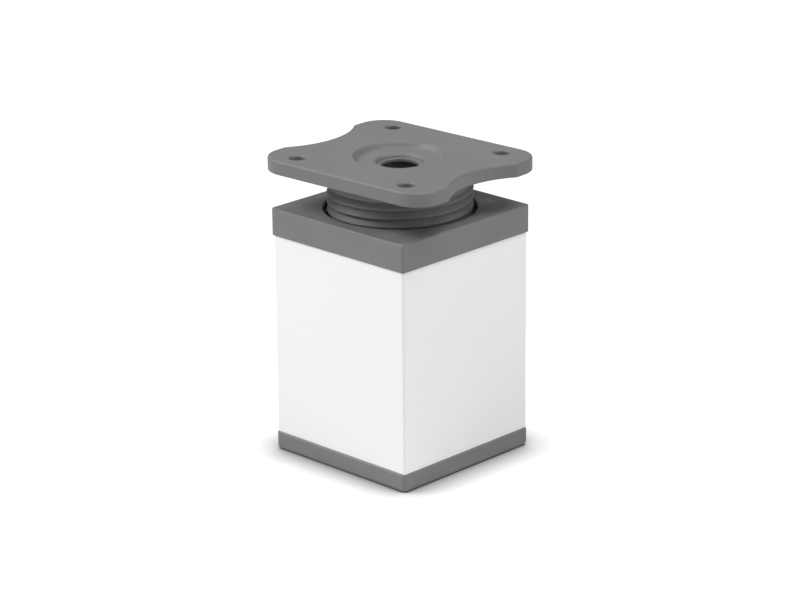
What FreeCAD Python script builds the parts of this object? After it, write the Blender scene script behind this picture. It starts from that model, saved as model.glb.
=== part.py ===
import FreeCAD, Part
import math
import os

# Adjustable cabinet leg: a square tube with a foot cap below and a threaded collar above,
# and a mounting plate whose hollow threaded stem screws into the collar.
# Millimetres, +Z up, origin at the centre of the foot's underside.

# Square tube
tube_width = 60.0
tube_wall = 1.5
tube_length = 70.0
tube_corner = 0.8
tube_inner_corner = 0.5

# Foot cap and collar stand out past the tube faces by this much
cap_overhang = 0.5

# Foot cap
foot_height = 6.4
foot_corner = 1.8
foot_edge = 1.5
foot_rim = 0.5
foot_plug_depth = 14.0

# Collar
collar_height = 9.6
collar_corner = 0.9
collar_edge = 0.45
collar_lower_edge = 0.2
collar_plug_depth = 10.0
sleeve_depth = 6.0
sleeve_wall = 2.7
sleeve_room = 1.0
mouth_depth = 2.6
mouth_gap = 1.1
mouth_edge = 0.4

# Plugs inside the tube
plug_gap = 0.25
plug_wall = 2.2
plug_corner = 1.4
grip_rib_width = 1.8
grip_rib_spacing = 30.0
cross_rib = 2.0

# Stem, sized over its thread crests; the collar's bore clears them by the thread gap
thread_gap = 0.3
stem_length = 32.0
stem_wall = 4.5
stem_neck = 2.4
neck_relief = 1.5
stem_lead_chamfer = 1.6

# Mounting plate
plate_length = 72.6
plate_width = 62.8
plate_thick = 4.8
plate_corner = 9.8
waist_depth = 5.75
waist_radius = 29.0
waist_blend = 0.8
plate_edge = 0.7
plate_lower_edge = 0.3
plate_turn = 2.6
plate_raise = 12.8

# Screw holes in the plate
screw_spacing = 48.0
screw_hole = 5.5
screw_rim = 0.45

# Dish and stepped hole in the middle of the plate
dish_diameter = 31.6
dish_depth = 1.8
dish_slope = 1.2
dish_edge = 0.7
dish_foot = 0.9
step_diameter = 15.6
step_depth = 1.4
step_edge = 1.3
bore_diameter = 12.8
lip_thick = 1.1
core_diameter = 17.0
boss_wall = 2.2
boss_depth = 14.0
web_thick = 2.0
web_count = 4

# Derived sizes
tube_inner = tube_width - 2 * tube_wall
cap_width = tube_width + 2 * cap_overhang
plug_width = tube_inner - 2 * plug_gap
tube_top = foot_height + tube_length
collar_top = tube_top + collar_height
plate_bottom = collar_top + plate_raise
plate_top = plate_bottom + plate_thick
plate_waist = plate_length - 2 * waist_depth
sleeve_radius = tube_inner / 2 - sleeve_room
bore_radius = sleeve_radius - sleeve_wall
stem_radius = bore_radius - thread_gap
neck_radius = stem_radius - neck_relief
mouth_radius = stem_radius + mouth_gap
stem_inner_radius = stem_radius - stem_wall
stem_bottom = plate_bottom - stem_length
sleeve_bottom = tube_top - sleeve_depth

# Cutting shapes run this far past the faces they open, and turned roundings have this many steps
cut_past = 1.0
arc_steps = 3

AXIS_POINT = FreeCAD.Vector(0, 0, 0)
UP = FreeCAD.Vector(0, 0, 1)


def block(width, depth, z0, z1, corner=0.0):
    """Upright square block centred on the axis, with rounded upright edges."""
    shape = Part.makeBox(width, depth, z1 - z0, FreeCAD.Vector(-width / 2, -depth / 2, z0))
    if corner > 0:
        upright = [e for e in shape.Edges if abs(e.tangentAt(e.FirstParameter).z) > 0.99]
        shape = shape.makeFillet(corner, upright)
    return shape


def rod(radius, z0, z1):
    """Upright cylinder on the axis."""
    return Part.makeCylinder(radius, z1 - z0, FreeCAD.Vector(0, 0, z0), UP)


def turned(points):
    """Solid of revolution about the axis from points (radius, height)."""
    corners = [FreeCAD.Vector(r, 0, z) for r, z in points]
    face = Part.Face(Part.makePolygon(corners + corners[:1]))
    return face.revolve(AXIS_POINT, UP, 360)


def level_edges(shape, z):
    """Edges of the shape that lie level at height z."""
    found = []
    for edge in shape.Edges:
        box = edge.BoundBox
        if abs(box.ZMin - z) < 1e-4 and abs(box.ZMax - z) < 1e-4:
            found.append(edge)
    return found


def rounded(before, corner, after, radius, steps):
    """Points (radius, height) of the arc that rounds one corner of a profile."""
    corner = FreeCAD.Vector(*corner, 0)
    back = (FreeCAD.Vector(*before, 0) - corner).normalize()
    ahead = (FreeCAD.Vector(*after, 0) - corner).normalize()
    half_angle = back.getAngle(ahead) / 2
    centre = corner + (back + ahead).normalize() * (radius / math.sin(half_angle))
    reach = radius / math.tan(half_angle)
    start = corner + back * reach - centre
    end = corner + ahead * reach - centre
    sweep = math.pi - 2 * half_angle
    points = []
    for index in range(steps + 1):
        part = index / steps
        arm = start * math.sin((1 - part) * sweep) + end * math.sin(part * sweep)
        spot = centre + arm * (1 / math.sin(sweep))
        points.append((spot.x, spot.y))
    return points


def square_plug(z0, z1):
    """Hollow square plug with grip ribs that press on the tube's inside faces."""
    plug = block(plug_width, plug_width, z0, z1, plug_corner)
    inside = plug_width - 2 * plug_wall
    plug = plug.cut(block(inside, inside, z0, z1, plug_corner / 2))
    for turn in (0, 90, 180, 270):
        for side in (-0.5, 0.5):
            middle = side * grip_rib_spacing
            reach = plug_wall / 2 + plug_gap
            corner = FreeCAD.Vector(tube_inner / 2 - reach, middle - grip_rib_width / 2, z0)
            rib = Part.makeBox(reach, grip_rib_width, z1 - z0, corner)
            rib.rotate(AXIS_POINT, UP, turn)
            plug = plug.fuse(rib)
    return plug


# Square tube
square_tube = block(tube_width, tube_width, foot_height, tube_top, tube_corner)
square_tube = square_tube.cut(
    block(tube_inner, tube_inner, foot_height, tube_top, tube_inner_corner)
)

# Foot cap: flange, plug and a cross of ribs inside the plug
flange = block(cap_width, cap_width, 0, foot_height, foot_corner)
flange = flange.makeFillet(foot_edge, level_edges(flange, 0))
flange = flange.makeChamfer(foot_rim, level_edges(flange, foot_height))
plug_top = foot_height + foot_plug_depth
foot_cap = flange.fuse(square_plug(foot_height, plug_top))
span = plug_width - plug_wall
for turn in (0, 90):
    rib = block(span, cross_rib, foot_height, plug_top)
    rib.rotate(AXIS_POINT, UP, turn)
    foot_cap = foot_cap.fuse(rib)
foot_cap = foot_cap.removeSplitter()

# Collar: flange, plug and the sleeve with the inside thread
head = block(cap_width, cap_width, tube_top, collar_top, collar_corner)
head = head.makeFillet(collar_edge, level_edges(head, collar_top))
head = head.makeChamfer(collar_lower_edge, level_edges(head, tube_top))
threaded_collar = head.fuse(square_plug(tube_top - collar_plug_depth, tube_top))
threaded_collar = threaded_collar.fuse(rod(sleeve_radius, sleeve_bottom, collar_top - mouth_depth))
threaded_collar = threaded_collar.removeSplitter()
way = turned(
    [
        (0, tube_top - collar_plug_depth - sleeve_depth),
        (bore_radius, tube_top - collar_plug_depth - sleeve_depth),
        (bore_radius, collar_top - mouth_depth),
        (mouth_radius, collar_top - mouth_depth),
        (mouth_radius, collar_top - mouth_edge),
        (mouth_radius + mouth_edge, collar_top),
        (mouth_radius + mouth_edge, collar_top + mouth_edge),
        (0, collar_top + mouth_edge),
    ]
)
threaded_collar = threaded_collar.cut(way)

# Mounting plate: outline with rounded corners and a hollowed arc in each end
half = plate_length / 2
arc_centre = plate_waist / 2 + waist_radius
arc_end = math.sqrt(max(waist_radius**2 - (arc_centre - half) ** 2, 0.01))
board = block(plate_length, plate_width, plate_bottom, plate_top, plate_corner)
for side in (-1, 1):
    bite = Part.makeCylinder(
        waist_radius, plate_thick, FreeCAD.Vector(side * arc_centre, 0, plate_bottom), UP
    )
    board = board.cut(bite)
tips = []
for edge in board.Edges:
    box = edge.BoundBox
    upright = box.XLength < 1e-4 and box.YLength < 1e-4
    if upright and abs(abs(box.XMin) - half) < 1e-3 and abs(abs(box.YMin) - arc_end) < 1e-2:
        tips.append(edge)
board = board.makeFillet(waist_blend, tips)
board = board.makeFillet(plate_edge, level_edges(board, plate_top))
board = board.makeChamfer(plate_lower_edge, level_edges(board, plate_bottom))

# Stem: round shell with a relieved neck, a boss round the hole and webs between the two
stem = turned(
    [
        (stem_inner_radius, stem_bottom),
        (stem_radius - stem_lead_chamfer, stem_bottom),
        (stem_radius, stem_bottom + stem_lead_chamfer),
        (stem_radius, plate_bottom - stem_neck),
        (neck_radius, plate_bottom - stem_neck + neck_relief / 2),
        (neck_radius, plate_bottom + plate_thick / 4),
        (stem_inner_radius, plate_bottom + plate_thick / 4),
    ]
)
boss_radius = core_diameter / 2 + boss_wall
boss = rod(boss_radius, plate_bottom - boss_depth, plate_bottom + plate_thick / 4)
mounting_plate = board.fuse(stem).fuse(boss)
for index in range(web_count):
    reach = stem_inner_radius + (stem_wall - neck_relief) / 2
    corner = FreeCAD.Vector(0, -web_thick / 2, plate_bottom - boss_depth)
    web = Part.makeBox(reach, web_thick, boss_depth + plate_thick / 4, corner)
    web.rotate(AXIS_POINT, UP, 360.0 * index / web_count)
    mounting_plate = mounting_plate.fuse(web)
mounting_plate = mounting_plate.removeSplitter()

# Dish, stepped hole and screw holes cut from above
dish_floor = plate_top - dish_depth
dish_radius = dish_diameter / 2
step_floor = dish_floor - step_depth
step_radius = step_diameter / 2
lip_bottom = step_floor - lip_thick
brim = (dish_radius, plate_top)
dish_root = (dish_radius - dish_slope, dish_floor)
step_brim = (step_radius, dish_floor)
step_root = (step_radius, step_floor)
hollow = [
    (0, plate_bottom - boss_depth - cut_past),
    (core_diameter / 2, plate_bottom - boss_depth - cut_past),
    (core_diameter / 2, lip_bottom),
    (bore_diameter / 2, lip_bottom),
    (bore_diameter / 2, step_floor),
    step_root,
]
hollow += rounded(step_root, step_brim, dish_root, step_edge, arc_steps)
hollow += rounded(step_brim, dish_root, brim, dish_foot, arc_steps)
hollow += rounded(dish_root, brim, (plate_length, plate_top), dish_edge, arc_steps)
hollow += [(hollow[-1][0], plate_top + cut_past), (0, plate_top + cut_past)]
mounting_plate = mounting_plate.cut(turned(hollow))
for side_x in (-0.5, 0.5):
    for side_y in (-0.5, 0.5):
        hole = turned(
            [
                (0, plate_bottom - cut_past),
                (screw_hole / 2, plate_bottom - cut_past),
                (screw_hole / 2, plate_top - screw_rim),
                (screw_hole / 2 + screw_rim, plate_top),
                (screw_hole / 2 + screw_rim, plate_top + cut_past),
                (0, plate_top + cut_past),
            ]
        )
        hole.translate(FreeCAD.Vector(side_x * screw_spacing, side_y * screw_spacing, 0))
        mounting_plate = mounting_plate.cut(hole)
mounting_plate.rotate(AXIS_POINT, UP, plate_turn)

os.makedirs("parts", exist_ok=True)
square_tube.exportStep("parts/square_tube.step")
foot_cap.exportStep("parts/foot_cap.step")
threaded_collar.exportStep("parts/threaded_collar.step")
mounting_plate.exportStep("parts/mounting_plate.step")
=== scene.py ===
import bmesh
import bpy
import math
from mathutils import Matrix, Vector


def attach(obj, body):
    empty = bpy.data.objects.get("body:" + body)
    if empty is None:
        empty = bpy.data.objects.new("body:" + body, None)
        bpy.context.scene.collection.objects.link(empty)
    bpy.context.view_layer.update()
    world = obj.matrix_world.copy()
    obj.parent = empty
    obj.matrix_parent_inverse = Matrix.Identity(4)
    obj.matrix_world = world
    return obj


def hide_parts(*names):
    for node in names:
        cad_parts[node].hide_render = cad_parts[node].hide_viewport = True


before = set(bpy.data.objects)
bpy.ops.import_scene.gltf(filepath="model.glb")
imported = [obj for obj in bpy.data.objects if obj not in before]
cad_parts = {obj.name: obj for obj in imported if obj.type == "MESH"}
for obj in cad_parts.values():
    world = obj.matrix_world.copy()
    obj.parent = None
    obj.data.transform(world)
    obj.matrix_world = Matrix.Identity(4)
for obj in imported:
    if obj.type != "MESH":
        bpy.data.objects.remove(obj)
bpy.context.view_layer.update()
scene = bpy.context.scene
MM = 0.001

# Sizes shared with the solids, in millimetres
STEM_R = 24.5
NECK_R = 23.0
STEM_BOTTOM = 66.8
STEM_CHAMFER = 1.6
THREAD_TOP = 96.4
NECK_BOTTOM = 97.15

# Thread, in millimetres: one pitch of the ridge as (radius, rise), from its lower lip to the next one
PITCH = 3.0
RIDGE = [
    (23.30, 0.00), (24.30, 0.00), (24.44, 0.03), (24.50, 0.10), (24.50, 0.50),
    (24.44, 0.62), (24.22, 0.90), (23.97, 1.20), (23.71, 1.50), (23.45, 1.80),
    (23.20, 2.08), (23.02, 2.28), (22.95, 2.45), (22.95, 2.80), (23.05, 2.95),
]
THREAD_START = 66.0 - PITCH
THREAD_TURNS = 13
STEPS_PER_TURN = 132
# A lip lies at this height on the side that faces the camera
LIP_HEIGHT = 88.85
LIP_ANGLE = math.radians(-46.3)
# The grooves grow shallow over this height below the thread's top, down to this share of their depth
FADE_HEIGHT = 2.6
FADE_LEAST = 0.3

# Faces of the solid's stem that the thread replaces: how far they may lie inside or above the neck's
# edge, and the steepest normal that still counts as wall
WALL_SLACK = 0.15
WALL_RISE = 0.1
WALL_NORMAL_Z = 0.95
WELD = 2e-6
ON_NECK = 1e-7
SKIN_CREASE = 34
THREAD_CREASE = 40


# Materials

def nodes_of(name):
    mat = bpy.data.materials.new(name)
    mat.use_nodes = True
    tree = mat.node_tree
    return mat, tree, tree.nodes["Principled BSDF"]


def link(tree, a, b):
    tree.links.new(a, b)


def noise(tree, coords, scale, detail, rough):
    n = tree.nodes.new("ShaderNodeTexNoise")
    n.inputs["Scale"].default_value = scale
    n.inputs["Detail"].default_value = detail
    n.inputs["Roughness"].default_value = rough
    link(tree, coords, n.inputs["Vector"])
    return n.outputs["Fac"]


def ramp(tree, fac, low, high, a=0.3, b=0.7):
    r = tree.nodes.new("ShaderNodeValToRGB")
    r.color_ramp.elements[0].position = a
    r.color_ramp.elements[1].position = b
    r.color_ramp.elements[0].color = (*low, 1.0)
    r.color_ramp.elements[1].color = (*high, 1.0)
    link(tree, fac, r.inputs["Fac"])
    return r.outputs["Color"]


def spread(tree, fac, low, high, a=0.3, b=0.7):
    m = tree.nodes.new("ShaderNodeMapRange")
    m.inputs["From Min"].default_value = a
    m.inputs["From Max"].default_value = b
    m.inputs["To Min"].default_value = low
    m.inputs["To Max"].default_value = high
    link(tree, fac, m.inputs["Value"])
    return m.outputs["Result"]


def bumped(tree, height, normal, strength, distance):
    b = tree.nodes.new("ShaderNodeBump")
    b.inputs["Strength"].default_value = strength
    b.inputs["Distance"].default_value = distance
    link(tree, height, b.inputs["Height"])
    link(tree, normal, b.inputs["Normal"])
    return b.outputs["Normal"]


def soft_edges(tree, radius):
    b = tree.nodes.new("ShaderNodeBevel")
    b.samples = 6
    b.inputs["Radius"].default_value = radius
    return b.outputs["Normal"]


def moulded_plastic(name, grey, tint, rough, edge):
    """Satin moulded plastic: spark-eroded grain, faint flow clouding, softened edges."""
    mat, tree, bsdf = nodes_of(name)
    coords = tree.nodes.new("ShaderNodeTexCoord").outputs["Object"]
    clouds = noise(tree, coords, scale=45.0, detail=3.0, rough=0.55)
    low = tuple(grey * t * 0.965 for t in tint)
    high = tuple(grey * t * 1.035 for t in tint)
    link(tree, ramp(tree, clouds, low, high), bsdf.inputs["Base Color"])
    grain = noise(tree, coords, scale=2600.0, detail=2.0, rough=0.6)
    link(tree, spread(tree, grain, rough - 0.05, rough + 0.06), bsdf.inputs["Roughness"])
    swell = noise(tree, coords, scale=160.0, detail=1.0, rough=0.4)
    normal = soft_edges(tree, edge)
    normal = bumped(tree, swell, normal, strength=0.10, distance=0.00006)
    normal = bumped(tree, grain, normal, strength=0.16, distance=0.00003)
    link(tree, normal, bsdf.inputs["Normal"])
    bsdf.inputs["Specular IOR Level"].default_value = 0.45
    return mat


def powder_coat(name, white, rough, edge):
    """Smooth white powder coat: fine orange peel under an even satin gloss."""
    mat, tree, bsdf = nodes_of(name)
    coords = tree.nodes.new("ShaderNodeTexCoord").outputs["Object"]
    clouds = noise(tree, coords, scale=18.0, detail=2.0, rough=0.5)
    low = (white * 0.992, white * 0.992, white * 0.990)
    high = (white, white, white)
    link(tree, ramp(tree, clouds, low, high), bsdf.inputs["Base Color"])
    peel = noise(tree, coords, scale=620.0, detail=2.0, rough=0.45)
    link(tree, spread(tree, peel, rough - 0.03, rough + 0.04), bsdf.inputs["Roughness"])
    normal = soft_edges(tree, edge)
    normal = bumped(tree, peel, normal, strength=0.10, distance=0.00005)
    link(tree, normal, bsdf.inputs["Normal"])
    return mat


PLATE_TINT = (0.985, 1.0, 1.03)
CAP_TINT = (0.97, 1.0, 1.025)
PLATE = moulded_plastic("plate_grey_plastic", grey=0.175, tint=PLATE_TINT, rough=0.53, edge=0.0005)
THREAD = moulded_plastic("thread_grey_plastic", grey=0.175, tint=PLATE_TINT, rough=0.64, edge=0.0001)
CAPS = moulded_plastic("cap_grey_plastic", grey=0.184, tint=CAP_TINT, rough=0.50, edge=0.0005)
WHITE = powder_coat("white_powder_coat", white=0.90, rough=0.40, edge=0.00015)


def dress(obj, mat):
    obj.data.materials.clear()
    obj.data.materials.append(mat)


dress(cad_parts["square_tube"], WHITE)
dress(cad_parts["foot_cap"], CAPS)
dress(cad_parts["threaded_collar"], CAPS)


# Mounting plate: the solid's own skin, with the stem's plain wall replaced by the thread

def finish_mesh(bm, name, mat, crease):
    """Object from the mesh, smooth but for edges sharper than the crease angle in degrees."""
    bm.normal_update()
    for face in bm.faces:
        face.smooth = True
    for edge in bm.edges:
        flat = edge.calc_face_angle(0.0) < math.radians(crease)
        edge.smooth = len(edge.link_faces) == 2 and flat
    mesh = bpy.data.meshes.new(name)
    bm.to_mesh(mesh)
    bm.free()
    obj = bpy.data.objects.new(name, mesh)
    scene.collection.objects.link(obj)
    dress(obj, mat)
    return obj


def from_axis(vert):
    return math.hypot(vert.co.x, vert.co.y)


def plate_skin():
    bm = bmesh.new()
    bm.from_mesh(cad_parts["mounting_plate"].data)
    bmesh.ops.remove_doubles(bm, verts=bm.verts, dist=WELD)
    gone = []
    for face in bm.faces:
        outer = all(from_axis(v) > (NECK_R - WALL_SLACK) * MM for v in face.verts)
        low = all(v.co.z < (NECK_BOTTOM + WALL_RISE) * MM for v in face.verts)
        if outer and low and abs(face.normal.z) < WALL_NORMAL_Z:
            gone.append(face)
    bmesh.ops.delete(bm, geom=gone, context="FACES")
    skin = finish_mesh(bm, "plate_skin", PLATE, SKIN_CREASE)
    weigh = skin.modifiers.new("weigh", "WEIGHTED_NORMAL")
    weigh.keep_sharp = True
    weigh.mode = "FACE_AREA_WITH_ANGLE"
    return skin


def thread_rows(bm):
    """Rows of vertices up the ridge, one row for each step round the axis."""
    turn = 2 * math.pi
    rows = []
    for i in range(STEPS_PER_TURN * THREAD_TURNS + 1):
        angle = turn * i / STEPS_PER_TURN
        lift = LIP_HEIGHT + PITCH * (angle - LIP_ANGLE) / turn
        lift -= PITCH * math.ceil((LIP_HEIGHT - PITCH * LIP_ANGLE / turn - THREAD_START) / PITCH)
        row = []
        for radius, rise in RIDGE:
            z = lift + rise
            depth = min(1.0, max(FADE_LEAST, (THREAD_TOP - z) / FADE_HEIGHT))
            radius = STEM_R - (STEM_R - radius) * depth
            radius = min(radius, STEM_R - STEM_CHAMFER + max(0.0, z - STEM_BOTTOM))
            x, y = radius * MM * math.cos(angle), radius * MM * math.sin(angle)
            row.append(bm.verts.new((x, y, z * MM)))
        rows.append(row)
    return rows


def cut_level(bm, z, side):
    """Cut the mesh at a height, drop what lies beyond and return the edges of the cut."""
    cut = bmesh.ops.bisect_plane(
        bm, geom=bm.verts[:] + bm.edges[:] + bm.faces[:], plane_co=(0, 0, z * MM),
        plane_no=(0, 0, side), clear_outer=True)
    return [e for e in cut["geom_cut"] if isinstance(e, bmesh.types.BMEdge)]


def extruded(bm, edges):
    grown = bmesh.ops.extrude_edge_only(bm, edges=edges)["geom"]
    verts = [g for g in grown if isinstance(g, bmesh.types.BMVert)]
    edges = [g for g in grown if isinstance(g, bmesh.types.BMEdge)]
    return verts, edges


def stem_thread():
    bm = bmesh.new()
    rows = thread_rows(bm)
    for i in range(STEPS_PER_TURN * THREAD_TURNS):
        a, b = rows[i], rows[i + 1]
        for j in range(len(RIDGE) - 1):
            bm.faces.new((a[j], b[j], b[j + 1], a[j + 1]))
        if i + 1 + STEPS_PER_TURN < len(rows):
            c, d = rows[i + STEPS_PER_TURN], rows[i + 1 + STEPS_PER_TURN]
            bm.faces.new((a[-1], b[-1], d[0], c[0]))
    cut_level(bm, STEM_BOTTOM, -1)
    rim = cut_level(bm, THREAD_TOP, 1)
    # a ledge in to the neck, then the neck up to where the skin's own begins
    verts, edges = extruded(bm, rim)
    for v in verts:
        s = NECK_R * MM / from_axis(v)
        v.co.x *= s
        v.co.y *= s
    rim = [e for e in edges if all(abs(from_axis(v) - NECK_R * MM) < ON_NECK for v in e.verts)]
    verts, edges = extruded(bm, rim)
    for v in verts:
        v.co.z = NECK_BOTTOM * MM
    bmesh.ops.recalc_face_normals(bm, faces=bm.faces)
    return finish_mesh(bm, "stem_thread", THREAD, THREAD_CREASE)


skin = plate_skin()
thread = stem_thread()
for piece in (skin, thread):
    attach(piece, "plate")
    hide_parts("mounting_plate")


# Floor, light and camera

FLOOR_HALF = 4.0
FLOOR_DROP = 0.00005
FLOOR_BOUNCE = (0.80, 0.80, 0.80)
FLOOR_SEEN = (0.25, 0.25, 0.25)
FLOOR_GLOW = 0.86
CONTACT_REACH = 0.014
CONTACT_DARKEST = 0.40
CONTACT_SAMPLES = 12
SURROUND = 0.32
PALE = (1.0, 1.0, 1.0, 1.0)


def lamp(name, where, at, size, watts):
    data = bpy.data.lights.new(name, "AREA")
    data.shape = "RECTANGLE"
    data.size, data.size_y = size
    data.energy = watts
    obj = bpy.data.objects.new(name, data)
    scene.collection.objects.link(obj)
    obj.location = where
    obj.rotation_mode = "QUATERNION"
    obj.rotation_quaternion = (Vector(at) - Vector(where)).to_track_quat("-Z", "Y")


def pale_floor():
    """The camera sees it white with a short painted contact shadow, where ambient occlusion dims its
    glow; other rays see a pale bouncing floor.
    """
    mat, tree, bsdf = nodes_of("pale_floor")
    bsdf.inputs["Roughness"].default_value = 0.9
    bsdf.inputs["Specular IOR Level"].default_value = 0.1
    near = tree.nodes.new("ShaderNodeAmbientOcclusion")
    near.samples = CONTACT_SAMPLES
    near.inputs["Distance"].default_value = CONTACT_REACH
    seen = tree.nodes.new("ShaderNodeLightPath").outputs["Is Camera Ray"]
    link(tree, ramp(tree, seen, FLOOR_BOUNCE, FLOOR_SEEN, 0.0, 1.0), bsdf.inputs["Base Color"])
    glow = tree.nodes.new("ShaderNodeMath")
    glow.operation = "MULTIPLY"
    link(tree, seen, glow.inputs[0])
    # painted contact shadow: the glow the camera sees fades to darker grey close to the leg, by ambient
    # occlusion
    painted_contact_shadow = spread(tree, near.outputs["AO"], 0.0, FLOOR_GLOW, CONTACT_DARKEST, 1.0)
    link(tree, painted_contact_shadow, glow.inputs[1])
    bsdf.inputs["Emission Color"].default_value = PALE
    link(tree, glow.outputs[0], bsdf.inputs["Emission Strength"])
    return mat


def studio():
    bm = bmesh.new()
    bmesh.ops.create_grid(bm, x_segments=1, y_segments=1, size=FLOOR_HALF)
    mesh = bpy.data.meshes.new("floor")
    bm.to_mesh(mesh)
    bm.free()
    floor = bpy.data.objects.new("floor", mesh)
    floor.location.z = -FLOOR_DROP
    scene.collection.objects.link(floor)
    dress(floor, pale_floor())
    world = bpy.data.worlds.new("studio")
    world.use_nodes = True
    back = world.node_tree.nodes["Background"]
    back.inputs["Color"].default_value = PALE
    back.inputs["Strength"].default_value = SURROUND
    scene.world = world
    lamp("key", (-0.85, -0.85, 1.15), at=(0.0, 0.0, 0.08), size=(0.7, 0.7), watts=19.4)
    lamp("right", (0.62, 0.20, 1.45), at=(0.0, 0.0, 0.06), size=(0.6, 0.6), watts=10.5)
    lamp("fill", (1.25, 0.25, 0.60), at=(0.0, 0.0, 0.06), size=(0.7, 0.7), watts=2.4)


def camera(azimuth, elevation, distance, focal, aside, height, roll):
    """Camera that looks at a point beside the axis; angles in degrees, lengths in metres, lens in mm."""
    a, e, r = math.radians(azimuth), math.radians(elevation), math.radians(roll)
    back = Vector((math.sin(a) * math.cos(e), -math.cos(a) * math.cos(e), math.sin(e)))
    right = Vector((math.cos(a), math.sin(a), 0.0))
    up = back.cross(right)
    eye = right * aside + Vector((0.0, 0.0, height)) + back * distance
    rolled_right = right * math.cos(r) + up * math.sin(r)
    rolled_up = up * math.cos(r) - right * math.sin(r)
    data = bpy.data.cameras.new("camera")
    data.sensor_fit = "HORIZONTAL"
    data.sensor_width = 36.0
    data.lens = focal
    data.clip_start, data.clip_end = 0.05, 20.0
    obj = bpy.data.objects.new("camera", data)
    scene.collection.objects.link(obj)
    turn = Matrix((rolled_right, rolled_up, back)).transposed().to_4x4()
    obj.matrix_world = Matrix.Translation(eye) @ turn
    scene.camera = obj


studio()
camera(azimuth=44.1095, elevation=19.0418, distance=1.08, focal=144.31,
       aside=-0.00036, height=0.052758, roll=-0.5)
scene.view_settings.view_transform = "Standard"
